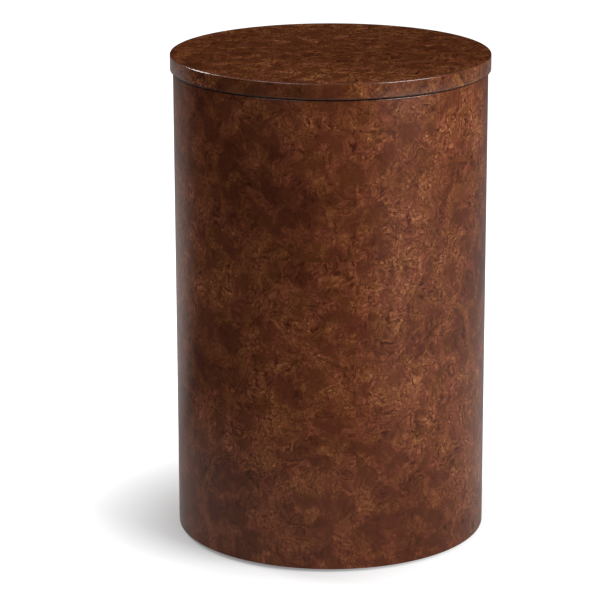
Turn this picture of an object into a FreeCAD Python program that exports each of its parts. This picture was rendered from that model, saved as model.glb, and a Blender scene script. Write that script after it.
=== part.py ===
# Martini table: a burl-veneered drum that stands on four levelling glides and carries a round top.
# Lengths are millimetres. The origin is on the floor under the drum's axis, +Z is up, the front is -Y.
import FreeCAD
import Part
import Sketcher
import os
import re

# The driving sizes, each a cell of the sheet.
SIZES = {
    # the table as a whole
    "overall_height": 508.0,
    "drum_diameter": 324.0,
    "lid_overhang": 3.0,
    "shadow_gap": 1.6,
    "foot_gap": 3.5,
    # sheet goods and glue
    "veneer_thickness": 0.6,
    "glue_line": 0.25,
    "arris_width": 0.4,
    "lid_core_thickness": 15.0,
    "shell_thickness": 9.0,
    "former_thickness": 18.0,
    "former_width": 45.0,
    "base_thickness": 15.0,
    "batten_width": 30.0,
    "batten_depth": 22.0,
    "joint_fit": 0.1,
    # wood screws and dowels
    "screw_diameter": 4.0,
    "screw_head_diameter": 8.0,
    "screw_head_height": 2.2,
    "screw_bite": 25.0,
    "screw_sink": 0.3,
    "lid_screw_bite": 10.0,
    "screw_tip": 3.0,
    "hole_relief": 1.0,
    "dowel_diameter": 8.0,
    "dowel_length": 20.0,
    "dowel_chamfer": 1.0,
    # levelling glides
    "glide_inset": 25.0,
    "pad_diameter": 25.0,
    "pad_floor": 1.6,
    "pad_chamfer": 0.8,
    "lip_height": 1.0,
    "glide_play": 0.2,
    "button_diameter": 13.0,
    "button_height": 2.0,
    "collar_across_flats": 13.0,
    "collar_height": 2.8,
    "stop_gap": 0.3,
    "stem_diameter": 8.0,
    "stem_length": 20.0,
    "stem_chamfer": 1.0,
    "thread_clearance": 0.05,
    "neck_clearance": 0.4,
    "insert_diameter": 12.0,
    "insert_length": 13.0,
    "flange_diameter": 17.0,
    "flange_thickness": 1.3,
    # how far a cut runs past the face it opens
    "overrun": 2.0,
}

# How many leaves and fixings go round, and where the first of each stands, in degrees from +X.
LEAF_ROWS = ("bottom", "middle", "top")
LEAF_COLUMNS = 6
LEAF_JOINT_ANGLE = -81.0
LID_LEAVES = 4
BATTENS = {"right_batten": 0, "rear_batten": 90, "left_batten": 180, "front_batten": 270}
CORNER_ANGLES = (45, 135, 225, 315)
DOWEL_ANGLE = 67.5
DOWELS = 2
FULL_TURN = 360
HEXAGON_SIDES = 6
# Two sizes closer than this are the same, when an edge is looked up.
SAME = 1e-4

# Sizes that follow from the driving ones.
DERIVED = {
    "drum_radius": "drum_diameter / 2",
    "lid_radius": "drum_radius + lid_overhang",
    "core_radius": "lid_radius - veneer_thickness - glue_line",
    "band_bore": "lid_radius - veneer_thickness",
    "leaf_bore": "drum_radius - veneer_thickness",
    "shell_radius": "leaf_bore - glue_line",
    "shell_bore": "shell_radius - shell_thickness",
    "fitted_radius": "shell_bore - joint_fit",
    "former_bore": "fitted_radius - former_width",
    "former_middle": "fitted_radius - former_width / 2",
    "batten_face": "fitted_radius - batten_depth",
    "batten_middle": "fitted_radius - batten_depth / 2",
    "glide_circle": "fitted_radius - glide_inset",
    "lid_core_bottom": "lid_underside + veneer_thickness",
    "lid_underside": "overall_height - lid_core_thickness - 2 * veneer_thickness",
    "drum_height": "lid_underside - shadow_gap - foot_gap",
    "leaf_height": f"drum_height / {len(LEAF_ROWS)}",
    "top_former_bottom": "lid_underside - former_thickness",
    "middle_former_bottom": "(base_top + top_former_bottom - former_thickness) / 2",
    "batten_length": "top_former_bottom - base_top",
    "base_bottom": "collar_top + stop_gap + flange_thickness",
    "base_top": "base_bottom + base_thickness",
    "pad_height": "button_top + glide_play + lip_height",
    "button_top": "pad_floor + button_height",
    "collar_bottom": "pad_height + glide_play",
    "collar_top": "collar_bottom + collar_height",
    "stem_top": "collar_top + stem_length",
    "stem_radius": "stem_diameter / 2 - thread_clearance",
    "screw_radius": "screw_diameter / 2",
    "screw_hole": "screw_radius + joint_fit",
    "pilot_depth": "screw_bite + hole_relief",
    "screw_head": "screw_head_diameter / 2",
    "sunk_head": "screw_head + joint_fit",
    "dowel_radius": "dowel_diameter / 2",
    "dowel_hole": "dowel_radius + joint_fit",
    "insert_radius": "insert_diameter / 2",
}

doc = FreeCAD.newDocument("martini_table")
sheet = doc.addObject("Spreadsheet::Sheet", "sizes")
for row, (alias, value) in enumerate(SIZES.items(), start=1):
    sheet.set(f"A{row}", alias)
    sheet.set(f"B{row}", str(value))
    sheet.setAlias(f"B{row}", alias)
doc.recompute()
nodes = []


def formula(words):
    """Write a sum of named sizes as an expression on the sheet's cells."""

    def cell(match):
        word = match.group()
        if word in SIZES:
            return "sizes." + word
        if word in DERIVED:
            return "(" + formula(DERIVED[word]) + ")"
        return word

    return re.sub("[a-z_]+", cell, words)


def measure(words):
    """The present value of a sum of named sizes."""
    return float(sheet.evalExpression(formula(words)))


def new_piece(label, lift="0", turned=0, out="0"):
    """Start a piece of the table, raised by lift, turned about the drum's axis, out from it by a radius."""
    body = doc.addObject("PartDesign::Body", label)
    body.Label = label
    body.AllowCompound = True
    body.Placement = FreeCAD.Placement(FreeCAD.Vector(), FreeCAD.Rotation(FreeCAD.Vector(0, 0, 1), turned))
    body.setExpression("Placement.Base.x", formula(f"({out}) * cos({turned} deg)"))
    body.setExpression("Placement.Base.y", formula(f"({out}) * sin({turned} deg)"))
    body.setExpression("Placement.Base.z", formula(lift))
    nodes.append(body)
    return body


def origin_feature(body, role):
    """One of the piece's own planes or axes."""
    return next(feature for feature in body.Origin.OriginFeatures if feature.Role == role)


def new_sketch(body, name, plane):
    sketch = body.newObject("Sketcher::SketchObject", name)
    sketch.AttachmentSupport = [(origin_feature(body, plane), "")]
    sketch.MapMode = "FlatFace"
    return sketch


def hold_point(sketch, line, corner):
    """Hold a line's first point at its two named distances from the sketch's axes."""
    for kind, axis, words in (("DistanceX", -2, corner[0]), ("DistanceY", -1, corner[1])):
        if words == "0":
            sketch.addConstraint(Sketcher.Constraint("PointOnObject", line, 1, axis))
        else:
            index = sketch.addConstraint(Sketcher.Constraint(kind, -1, 1, line, 1, measure(words)))
            sketch.setExpression(f"Constraints[{index}]", formula(words))


def draw_outline(sketch, corners):
    """Draw a closed outline whose corners are pairs of named distances."""
    points = [FreeCAD.Vector(measure(across), measure(up), 0) for across, up in corners]
    count = len(points)
    for line in range(count):
        sketch.addGeometry(Part.LineSegment(points[line], points[(line + 1) % count]))
    for line in range(count):
        sketch.addConstraint(Sketcher.Constraint("Coincident", line, 2, (line + 1) % count, 1))
    for line, corner in enumerate(corners):
        hold_point(sketch, line, corner)


def draw_circle(sketch, radius):
    """Draw a circle of a named radius about the sketch's origin."""
    centre = FreeCAD.Vector()
    circle = sketch.addGeometry(Part.Circle(centre, FreeCAD.Vector(0, 0, 1), measure(radius)))
    sketch.addConstraint(Sketcher.Constraint("Coincident", circle, 3, -1, 1))
    index = sketch.addConstraint(Sketcher.Constraint("Radius", circle, measure(radius)))
    sketch.setExpression(f"Constraints[{index}]", formula(radius))


def finish_feature(body, feature, cuts):
    """Work the feature out, and stop if a cut has missed its piece."""
    before = body.Shape.Volume if cuts else 0
    doc.recompute()
    if cuts and not feature.Shape.Volume < before - SAME:
        raise RuntimeError(f"{body.Label}: {feature.Label} cuts nothing")


def ring_of(body, feature, count):
    """Repeat a feature evenly about the drum's axis."""
    pattern = body.newObject("PartDesign::PolarPattern", feature.Name + "_ring")
    pattern.Originals = [feature]
    pattern.Axis = (origin_feature(body, "Z_Axis"), [""])
    pattern.Angle = FULL_TURN
    pattern.Occurrences = count
    body.Tip = pattern
    doc.recompute()


def turn(body, name, corners, sweep=FULL_TURN, cuts=False, at=("0", 0), count=1):
    """Turn an outline of radii and heights about an upright axis, and repeat it round the drum.

    The axis stands at a radius and an angle from the piece's own axis.
    A sweep of less than a full turn lies evenly on both sides of the outline's plane.
    """
    sketch = new_sketch(body, name + "_outline", "XZ_Plane")
    radius, angle = at
    sketch.setExpression("AttachmentOffset.Base.x", formula(f"({radius}) * cos({angle} deg)"))
    sketch.setExpression("AttachmentOffset.Base.z", formula(f"-({radius}) * sin({angle} deg)"))
    draw_outline(sketch, corners)
    feature = body.newObject("PartDesign::Groove" if cuts else "PartDesign::Revolution", name)
    feature.Profile = sketch
    feature.ReferenceAxis = (sketch, ["V_Axis"])
    feature.Midplane = True
    feature.Angle = sweep
    finish_feature(body, feature, cuts)
    if count > 1:
        ring_of(body, feature, count)


def raise_outline(body, name, sketch, thickness):
    """Give a flat outline its thickness, upwards."""
    pad = body.newObject("PartDesign::Pad", name)
    pad.Profile = sketch
    pad.setExpression("Length", formula(thickness))
    finish_feature(body, pad, False)


def pad_disc(body, name, radius, thickness, opening=None):
    """Raise a disc, or a ring where it has an opening."""
    sketch = new_sketch(body, name + "_outline", "XY_Plane")
    draw_circle(sketch, radius)
    if opening:
        draw_circle(sketch, opening)
    raise_outline(body, name, sketch, thickness)


def ease_rim(body, radius, height):
    """Ease the arris that runs at a radius and a height of the piece."""
    wanted = measure(radius), measure(height) + body.Placement.Base.z
    base = body.Tip
    edges = []
    for number, edge in enumerate(body.Shape.Edges, start=1):
        round_edge = isinstance(edge.Curve, Part.Circle)
        if round_edge and abs(edge.Curve.Radius - wanted[0]) + abs(edge.Curve.Center.z - wanted[1]) < SAME:
            edges.append(f"Edge{number}")
    ease = body.newObject("PartDesign::Chamfer", "eased_arris")
    ease.Base = (base, edges)
    ease.setExpression("Size", formula("arris_width"))
    finish_feature(body, ease, True)


def slab(inner, outer, top, bottom="0"):
    """The outline of a flat or upright ring: its inner and outer radius, its top and its bottom."""
    return [(inner, bottom), (outer, bottom), (outer, top), (inner, top)]


def bore(radius, depth):
    """The outline of a plain hole drilled up from height 0."""
    return slab("0", radius, depth, "-overrun")


def sunk_hole(depth):
    """The outline of a countersunk screw hole that is drilled up from height 0."""
    return [
        ("0", "-overrun"),
        ("sunk_head", "-overrun"),
        ("sunk_head", "screw_sink"),
        ("screw_hole", "screw_sink + screw_head_height"),
        ("screw_hole", depth),
        ("0", depth),
    ]


def sunk_screw(length):
    """The outline of a countersunk screw, its head at the bottom."""
    return [
        ("0", "screw_sink"),
        ("screw_head", "screw_sink"),
        ("screw_radius", "screw_sink + screw_head_height"),
        ("screw_radius", f"{length} - screw_tip"),
        ("0", length),
    ]


def lid_holes(body, screw_depth, dowel_depth):
    """The holes in the underside of a layer of the top: four for screws, two for dowels."""
    turn(body, "screw_hole", bore("screw_hole", screw_depth), cuts=True,
         at=("former_middle", CORNER_ANGLES[0]), count=len(CORNER_ANGLES))
    turn(body, "dowel_hole", bore("dowel_hole", dowel_depth), cuts=True,
         at=("former_middle", DOWEL_ANGLE), count=DOWELS)


def make_lid():
    """The top: a round core, lipped with a veneer strip, faced with four quarter leaves and backed."""
    core = new_piece("lid_core", "lid_core_bottom")
    pad_disc(core, "disc", "core_radius", "lid_core_thickness")
    lid_holes(core, "lid_screw_bite + hole_relief", "dowel_length / 2 + hole_relief")

    band = new_piece("lid_edge_band", "lid_core_bottom")
    turn(band, "strip", slab("band_bore", "lid_radius", "lid_core_thickness"))

    backer = new_piece("lid_backer", "lid_underside")
    pad_disc(backer, "sheet", "lid_radius", "veneer_thickness")
    ease_rim(backer, "lid_radius", "0")
    lid_holes(backer, "veneer_thickness + overrun", "veneer_thickness + overrun")

    quarter = FULL_TURN / LID_LEAVES
    for leaf in range(LID_LEAVES):
        angle = quarter * (leaf + 1 / 2)
        face = new_piece(f"lid_leaf_{leaf + 1}", "overall_height - veneer_thickness", angle)
        turn(face, "leaf", slab("0", "lid_radius", "veneer_thickness"), sweep=quarter)
        ease_rim(face, "lid_radius", "veneer_thickness")


def make_drum_leaves():
    """The drum's skin: three rows of leaves, whose upright joints line up from row to row."""
    width = FULL_TURN / LEAF_COLUMNS
    for row, name in enumerate(LEAF_ROWS):
        for column in range(LEAF_COLUMNS):
            angle = LEAF_JOINT_ANGLE + width * (column + 1 / 2)
            leaf = new_piece(f"drum_leaf_{name}_{column + 1}", f"foot_gap + {row} * leaf_height", angle)
            turn(leaf, "leaf", slab("leaf_bore", "drum_radius", "leaf_height"), sweep=width)
            if name == LEAF_ROWS[0]:
                ease_rim(leaf, "drum_radius", "0")
            if name == LEAF_ROWS[-1]:
                ease_rim(leaf, "drum_radius", "leaf_height")


def make_shells():
    """The drum's wall: two moulded half shells that meet at the left and right battens."""
    for label, angle in (("front_half_shell", 270), ("rear_half_shell", 90)):
        shell = new_piece(label, "foot_gap", angle)
        turn(shell, "wall", slab("shell_bore", "shell_radius", "drum_height"), sweep=FULL_TURN / 2)


def make_formers():
    """The rings that keep the drum round. The upper one stands proud of the wall and carries the top."""
    top = new_piece("top_former", "top_former_bottom")
    pad_disc(top, "ring", "fitted_radius", "former_thickness", "former_bore")
    turn(top, "lid_screw_hole", bore("screw_hole", "former_thickness + overrun"), cuts=True,
         at=("former_middle", CORNER_ANGLES[0]), count=len(CORNER_ANGLES))
    dowel_seat = slab("0", "dowel_hole", "former_thickness + overrun",
                      "former_thickness - dowel_length / 2 - hole_relief")
    turn(top, "dowel_hole", dowel_seat, cuts=True, at=("former_middle", DOWEL_ANGLE), count=DOWELS)
    sunk_from_top = [(radius, f"former_thickness - ({depth})")
                     for radius, depth in sunk_hole("former_thickness + overrun")]
    turn(top, "batten_screw_hole", sunk_from_top, cuts=True,
         at=("batten_middle", 0), count=len(BATTENS))

    middle = new_piece("middle_former", "middle_former_bottom")
    pad_disc(middle, "ring", "fitted_radius", "former_thickness", "former_bore")
    sketch = new_sketch(middle, "notch_outline", "XY_Plane")
    inner, outer = "batten_face - joint_fit", "fitted_radius + overrun"
    side = "batten_width / 2 + joint_fit"
    draw_outline(sketch, [(inner, f"-({side})"), (outer, f"-({side})"), (outer, side), (inner, side)])
    notch = middle.newObject("PartDesign::Pocket", "notch")
    notch.Profile = sketch
    notch.Reversed = True
    notch.setExpression("Length", formula("former_thickness + overrun"))
    finish_feature(middle, notch, True)
    ring_of(middle, notch, len(BATTENS))


def make_battens():
    """The upright battens inside the wall. The left and right ones back the joints of the half shells."""
    for label, angle in BATTENS.items():
        batten = new_piece(label, "base_top", angle)
        sketch = new_sketch(batten, "section", "XY_Plane")
        side = measure("batten_width / 2")
        face = measure("batten_face")
        radius = measure("fitted_radius")
        rim = (radius ** 2 - side ** 2) ** 0.5
        low, high = FreeCAD.Vector(rim, -side, 0), FreeCAD.Vector(rim, side, 0)
        inner_low, inner_high = FreeCAD.Vector(face, -side, 0), FreeCAD.Vector(face, side, 0)
        sketch.addGeometry(Part.LineSegment(inner_low, low))
        sketch.addGeometry(Part.Arc(low, FreeCAD.Vector(radius, 0, 0), high))
        sketch.addGeometry(Part.LineSegment(high, inner_high))
        sketch.addGeometry(Part.LineSegment(inner_high, inner_low))
        for first, second in ((0, 1), (1, 2), (2, 3), (3, 0)):
            sketch.addConstraint(Sketcher.Constraint("Coincident", first, 2, second, 1))
        sketch.addConstraint(Sketcher.Constraint("Coincident", 1, 3, -1, 1))
        sketch.addConstraint(Sketcher.Constraint("Horizontal", 0))
        sketch.addConstraint(Sketcher.Constraint("Horizontal", 2))
        hold_point(sketch, 0, ("batten_face", "-batten_width / 2"))
        hold_point(sketch, 3, ("batten_face", "batten_width / 2"))
        index = sketch.addConstraint(Sketcher.Constraint("Radius", 1, radius))
        sketch.setExpression(f"Constraints[{index}]", formula("fitted_radius"))
        raise_outline(batten, "stick", sketch, "batten_length")
        lower = bore("screw_hole", "pilot_depth")
        upper = slab("0", "screw_hole", "batten_length + overrun", "batten_length - pilot_depth")
        turn(batten, "lower_pilot", lower, cuts=True, at=("batten_middle", 0))
        turn(batten, "upper_pilot", upper, cuts=True, at=("batten_middle", 0))


def make_base():
    """The bottom board, let up into the drum, with seats for the glides' inserts."""
    base = new_piece("base_panel", "base_bottom")
    pad_disc(base, "disc", "fitted_radius", "base_thickness")
    turn(base, "insert_hole", bore("insert_radius + joint_fit", "base_thickness + overrun"), cuts=True,
         at=("glide_circle", CORNER_ANGLES[0]), count=len(CORNER_ANGLES))
    turn(base, "screw_hole", sunk_hole("base_thickness + overrun"), cuts=True,
         at=("batten_middle", 0), count=len(BATTENS))


def make_fixings():
    """Screws and dowels, one group for each use."""
    dowels = new_piece("lid_dowels", "lid_underside")
    end, shoulder = "dowel_length / 2", "dowel_length / 2 - dowel_chamfer"
    tip = "dowel_radius - dowel_chamfer"
    pin = [("0", f"-({end})"), (tip, f"-({end})"), ("dowel_radius", f"-({shoulder})"),
           ("dowel_radius", shoulder), (tip, end), ("0", end)]
    turn(dowels, "dowel", pin, at=("former_middle", DOWEL_ANGLE), count=DOWELS)

    lid_screws = new_piece("lid_screws", "top_former_bottom")
    length = "former_thickness + veneer_thickness + lid_screw_bite"
    screw = [("0", "-screw_head_height"), ("screw_head", "-screw_head_height"), ("screw_head", "0"),
             ("screw_radius", "0"), ("screw_radius", f"{length} - screw_tip"), ("0", length)]
    turn(lid_screws, "screw", screw, at=("former_middle", CORNER_ANGLES[0]), count=len(CORNER_ANGLES))

    base_screws = new_piece("base_screws", "base_bottom")
    turn(base_screws, "screw", sunk_screw("base_thickness + screw_bite"),
         at=("batten_middle", 0), count=len(BATTENS))

    former_screws = new_piece("former_screws", "lid_underside")
    downward = [(radius, f"-({depth})") for radius, depth in sunk_screw("former_thickness + screw_bite")]
    turn(former_screws, "screw", downward, at=("batten_middle", 0), count=len(BATTENS))


def make_glides():
    """Levelling glides: an insert in the base, a screwed stem with a hexagon collar, a swivelling pad."""
    inserts = new_piece("insert_nuts", "base_bottom")
    nut = [("stem_diameter / 2", "-flange_thickness"), ("flange_diameter / 2", "-flange_thickness"),
           ("flange_diameter / 2", "0"), ("insert_radius", "0"), ("insert_radius", "insert_length"),
           ("stem_diameter / 2", "insert_length")]
    turn(inserts, "nut", nut, at=("glide_circle", CORNER_ANGLES[0]), count=len(CORNER_ANGLES))

    rim, edge = "pad_diameter / 2", "pad_diameter / 2 - pad_chamfer"
    mouth, pocket = "stem_radius + neck_clearance", "button_diameter / 2 + neck_clearance"
    lip_bottom = "pad_height - lip_height"
    cup = [("0", "0"), (edge, "0"), (rim, "pad_chamfer"), (rim, "pad_height - pad_chamfer"),
           (edge, "pad_height"), (mouth, "pad_height"), (mouth, lip_bottom), (pocket, lip_bottom),
           (pocket, "pad_floor"), ("0", "pad_floor")]
    button = "button_diameter / 2"
    spindle = [("0", "pad_floor"), (button, "pad_floor"), (button, "button_top"),
               ("stem_radius", "button_top"), ("stem_radius", "stem_top - stem_chamfer"),
               ("stem_radius - stem_chamfer", "stem_top"), ("0", "stem_top")]
    for number, angle in enumerate(CORNER_ANGLES, start=1):
        pad = new_piece(f"glide_pad_{number}", "0", angle, "glide_circle")
        turn(pad, "cup", cup)
        stem = new_piece(f"glide_stem_{number}", "0", angle, "glide_circle")
        turn(stem, "spindle", spindle)
        collar = stem.newObject("PartDesign::AdditivePrism", "collar")
        collar.AttachmentSupport = [(origin_feature(stem, "XY_Plane"), "")]
        collar.MapMode = "FlatFace"
        collar.Polygon = HEXAGON_SIDES
        collar.setExpression("AttachmentOffset.Base.z", formula("collar_bottom"))
        collar.setExpression("Circumradius", formula("collar_across_flats / 2 / cos(30 deg)"))
        collar.setExpression("Height", formula("collar_height"))
        finish_feature(stem, collar, False)


make_lid()
make_drum_leaves()
make_shells()
make_formers()
make_battens()
make_base()
make_fixings()
make_glides()
doc.recompute()

for item in doc.Objects:
    if "Invalid" in item.State or "Error" in item.State:
        raise RuntimeError(f"{item.Label} failed: {item.State}")
for piece in nodes:
    if piece.Shape.isNull() or not piece.Shape.isValid() or not piece.Shape.Solids:
        raise RuntimeError(f"{piece.Label} has no valid solid")

os.makedirs("parts", exist_ok=True)
for piece in nodes:
    piece.Shape.exportStep(os.path.join("parts", piece.Label + ".step"))
print(len(nodes), "pieces,", sum(len(piece.Shape.Solids) for piece in nodes), "solids")
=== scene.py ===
# %% [markdown]
# # A martini table in burl veneer
# The real table is a drum of moulded plywood under a round top, both dressed in thin leaves of burl and
# lacquered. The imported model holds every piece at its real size. This lesson loads it as a fixed frame
# and makes the looks around it: the veneer, the finishes of the boards inside, the metal of the glides.

import bmesh
import bpy
import numpy as np
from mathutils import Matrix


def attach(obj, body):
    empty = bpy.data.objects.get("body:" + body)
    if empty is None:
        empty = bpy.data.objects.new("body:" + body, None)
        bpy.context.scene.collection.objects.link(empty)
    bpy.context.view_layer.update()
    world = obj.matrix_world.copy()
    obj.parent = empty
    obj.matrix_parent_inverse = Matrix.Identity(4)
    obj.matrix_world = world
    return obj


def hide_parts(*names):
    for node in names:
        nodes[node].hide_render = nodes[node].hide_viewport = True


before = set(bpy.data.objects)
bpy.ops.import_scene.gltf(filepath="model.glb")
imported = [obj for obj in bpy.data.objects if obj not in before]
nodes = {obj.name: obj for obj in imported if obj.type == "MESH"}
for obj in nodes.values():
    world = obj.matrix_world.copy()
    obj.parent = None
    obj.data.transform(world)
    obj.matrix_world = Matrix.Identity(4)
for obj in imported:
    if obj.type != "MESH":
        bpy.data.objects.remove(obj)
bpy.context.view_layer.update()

# %% [markdown]
# ## Sizes from the frame
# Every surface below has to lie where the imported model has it. Typing the sizes again would work until
# one of them changes, so they are measured on the nodes' meshes: how far a node reaches from the table's
# upright axis, and between which heights it lies. A node of screws holds four solids, so those are told
# apart by their heading.

# %% Measure a node
MM = 0.001


def points_of(node):
    """The points of a node's mesh, as rows of x, y and z in metres."""
    mesh = nodes[node].data
    flat = np.empty(len(mesh.vertices) * 3)
    mesh.vertices.foreach_get("co", flat)
    return flat.reshape(-1, 3)


def reach_of(node):
    """Least and greatest distance from the axis, then least and greatest height, of a node's points."""
    points = points_of(node)
    away = np.hypot(points[:, 0], points[:, 1])
    return away.min(), away.max(), points[:, 2].min(), points[:, 2].max()


def axes_of(node, count):
    """The upright axes of a node's equal solids, as rows of x, y and 0, then the heights they lie between.

    The solids stand evenly round the table, so each point belongs to the one nearest to its heading.
    """
    points = points_of(node)
    heading = np.arctan2(points[:, 1], points[:, 0])
    owner = np.round((heading - heading[0]) * count / (2 * np.pi)).astype(int) % count
    solids = [points[owner == number] for number in range(count)]
    middles = np.array([(solid.min(axis=0) + solid.max(axis=0)) / 2 for solid in solids])
    return middles * (1, 1, 0), points[:, 2].min(), points[:, 2].max()


drum_inner, drum_outer, _, _ = reach_of("drum_leaf_bottom_1")
_, lid_outer, lid_face_back, lid_top = reach_of("lid_leaf_1")
print("drum radius", round(drum_outer / MM, 2), "mm, lid radius", round(lid_outer / MM, 2), "mm")

# %% [markdown]
# ## Surfaces as grids
# A veneer leaf, a screw and a glide can all be drawn as a grid of points: one direction runs along a
# profile, the other carries it round an axis. Modelling them by hand would also work, but a formula keeps
# them exact and easy to change. The helper turns such a grid into a mesh, welds the points that fall
# together at a seam or a pole, and turns the faces outwards.

# %% From a grid to a mesh
WELD = 0.0005 * MM
SHARP_ANGLE = np.radians(35)


def surface_mesh(name, points, maps=None):
    """A mesh whose faces are the cells of a grid.

    points has the shape (copies, rows, columns, 3) or (rows, columns, 3). maps gives each UV map as the
    same grid with a (u, v) pair at each point.
    """
    rows, columns = points.shape[-3:-1]
    number = np.arange(points.size // 3).reshape(-1, rows, columns)
    cell = (number[:, :-1, :-1], number[:, :-1, 1:], number[:, 1:, 1:], number[:, 1:, :-1])
    faces = np.stack(cell, axis=-1).reshape(-1, 4)
    mesh = bpy.data.meshes.new(name)
    mesh.from_pydata(points.reshape(-1, 3).tolist(), [], faces.tolist())
    for label, grid in (maps or {}).items():
        layer = mesh.uv_layers.new(name=label)
        layer.data.foreach_set("uv", grid.reshape(-1, 2)[faces.ravel()].ravel())
    work = bmesh.new()
    work.from_mesh(mesh)
    bmesh.ops.remove_doubles(work, verts=work.verts, dist=WELD)
    bmesh.ops.recalc_face_normals(work, faces=work.faces)
    work.to_mesh(mesh)
    work.free()
    mesh.polygons.foreach_set("use_smooth", np.ones(len(mesh.polygons), bool))
    mesh.set_sharp_from_angle(angle=SHARP_ANGLE)
    return mesh


def dress(mesh, body, slot, material, *replaced):
    """Puts a mesh on its body, with its finish, in place of the nodes that it stands for."""
    piece = bpy.data.objects.new(mesh.name, mesh)
    bpy.context.scene.collection.objects.link(piece)
    mesh.materials.append(material)
    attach(piece, body)
    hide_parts(*replaced)


print("grids weld points closer than", WELD / MM, "mm")

# %% Profiles and turns
EASE_STEPS = 5


def eased(corners, cuts):
    """A closed outline with rounded corners.

    Each corner p gives way to the curve (1-s)^2 a + 2 s (1-s) p + s^2 b, where a and b lie one cut before
    and one cut after it along the outline. A cut of zero leaves the corner sharp.
    """
    corner = np.asarray(corners, float)
    before = np.roll(corner, 1, axis=0) - corner
    after = np.roll(corner, -1, axis=0) - corner
    cut = np.asarray(cuts, float)[:, None]
    start = corner + before / np.linalg.norm(before, axis=1, keepdims=True) * cut
    end = corner + after / np.linalg.norm(after, axis=1, keepdims=True) * cut
    s = np.linspace(0, 1, EASE_STEPS)[:, None]
    curve = (1 - s) ** 2 * start[:, None] + 2 * s * (1 - s) * corner[:, None] + s ** 2 * end[:, None]
    outline = curve.reshape(-1, 2)
    return np.vstack([outline, outline[:1]])


def arc(middle, radius, start, end):
    """Points of a circle in the (radius, height) plane: middle + r (cos a, sin a), from angle to angle."""
    angles = np.linspace(start, end, EASE_STEPS)
    return np.column_stack([middle[0] + radius * np.cos(angles), middle[1] + radius * np.sin(angles)])


def round_axis(radius, height, angles):
    """Points at x = r cos a, y = r sin a, z = h, for arrays of r, h and a that fit together."""
    radius, height, angles = np.broadcast_arrays(radius, height, angles)
    return np.stack([radius * np.cos(angles), radius * np.sin(angles), height], axis=-1)


def full_turn(steps):
    """Angles once round, with the first one repeated at the end, where the weld closes the seam."""
    return np.linspace(0, 2 * np.pi, steps + 1)


print("a quarter arc:", arc((0, 0), 1, 0, np.pi / 2).round(2).tolist())

# %% [markdown]
# ## A short pen for nodes
# A finish is a tree of shader nodes. Wiring each node by hand takes many lines, so this small class
# writes them: each method adds one node, feeds it values or other nodes' outputs, and hands back its own
# output. A finish then reads as a list of steps.

# %% Write nodes
class Recipe:
    """Writes nodes into one tree."""

    def __init__(self, tree):
        self.tree = tree

    def feed(self, socket, value):
        """Links an output to a socket, or sets the socket to a plain value."""
        if isinstance(value, bpy.types.NodeSocket):
            self.tree.links.new(value, socket)
        else:
            socket.default_value = value

    def node(self, kind, inputs, **settings):
        made = self.tree.nodes.new("ShaderNode" + kind)
        for name, value in settings.items():
            setattr(made, name, value)
        for name, value in inputs.items():
            self.feed(made.inputs[name], value)
        return made

    def maths(self, operation, first, second=0.0, third=0.0):
        return self.node("Math", {0: first, 1: second, 2: third}, operation=operation).outputs[0]

    def about_zero(self, value):
        """A value that lies about one half, moved to lie about zero."""
        return self.maths("ADD", value, -0.5)

    def move(self, point, step):
        return self.node("VectorMath", {0: point, 1: step}, operation="ADD").outputs[0]

    def stretch(self, point, scale):
        return self.node("VectorMath", {0: point, 1: scale}, operation="MULTIPLY").outputs[0]

    def length(self, point):
        return self.node("VectorMath", {0: point}, operation="LENGTH").outputs["Value"]

    def object_place(self):
        return self.node("TexCoord", {}).outputs["Object"]

    def axes(self, point):
        """The X, Y and Z of a point."""
        return self.node("SeparateXYZ", {"Vector": point}).outputs

    def cloud(self, point, size, detail=2.0, roughness=0.5, output="Fac", dimensions="2D"):
        """Noise whose largest lumps are about one size apart."""
        inputs = {"Vector": point, "Scale": 1 / size, "Detail": detail, "Roughness": roughness}
        return self.node("TexNoise", inputs, noise_dimensions=dimensions).outputs[output]

    def warp(self, point, size, reach, detail=2.0, roughness=0.5):
        """Moves a point by noise, up to half a reach each way."""
        push = self.move(self.cloud(point, size, detail, roughness, "Color"), (-0.5, -0.5, -0.5))
        return self.move(point, self.stretch(push, (reach, reach, reach)))

    def cells(self, point, size):
        """Distance to the nearest of scattered centres, in cell sizes, and that centre's chance number."""
        made = self.node("TexVoronoi", {"Vector": point, "Scale": 1 / size}, voronoi_dimensions="2D")
        chance = self.node("SeparateColor", {"Color": made.outputs["Color"]}).outputs["Red"]
        return made.outputs["Distance"], chance

    def fade(self, value, low, high):
        """A smooth step from 0 at low to 1 at high, which may be the lesser of the two."""
        inputs = {"Value": value, "From Min": low, "From Max": high}
        return self.node("MapRange", inputs, interpolation_type="SMOOTHSTEP").outputs["Result"]

    def mix(self, factor, first, second, mode="MIX"):
        made = self.node("Mix", {0: factor, 6: first, 7: second}, data_type="RGBA", blend_type=mode)
        return made.outputs[2]

    def shades(self, value, stops):
        """A colour ramp through (place, colour) stops."""
        made = self.node("ValToRGB", {"Fac": value})
        ramp = made.color_ramp
        for _ in stops[2:]:
            ramp.elements.new(1.0)
        for element, (place, colour) in zip(ramp.elements, stops):
            element.position = place
            element.color = colour
        return made.outputs["Color"]

    def bump(self, height, strength, distance):
        made = self.node("Bump", {"Height": height, "Strength": strength, "Distance": distance})
        return made.outputs["Normal"]


def rgb(red, green, blue):
    """A colour given as it looks on a screen, 0 to 255, in the linear values that shaders use."""
    share = np.array([red, green, blue]) / 255
    linear = np.where(share <= 0.04045, share / 12.92, ((share + 0.055) / 1.055) ** 2.4)
    return (*linear.tolist(), 1.0)


print("half grey on a screen is", round(rgb(128, 128, 128)[0], 3), "to a shader")

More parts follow.
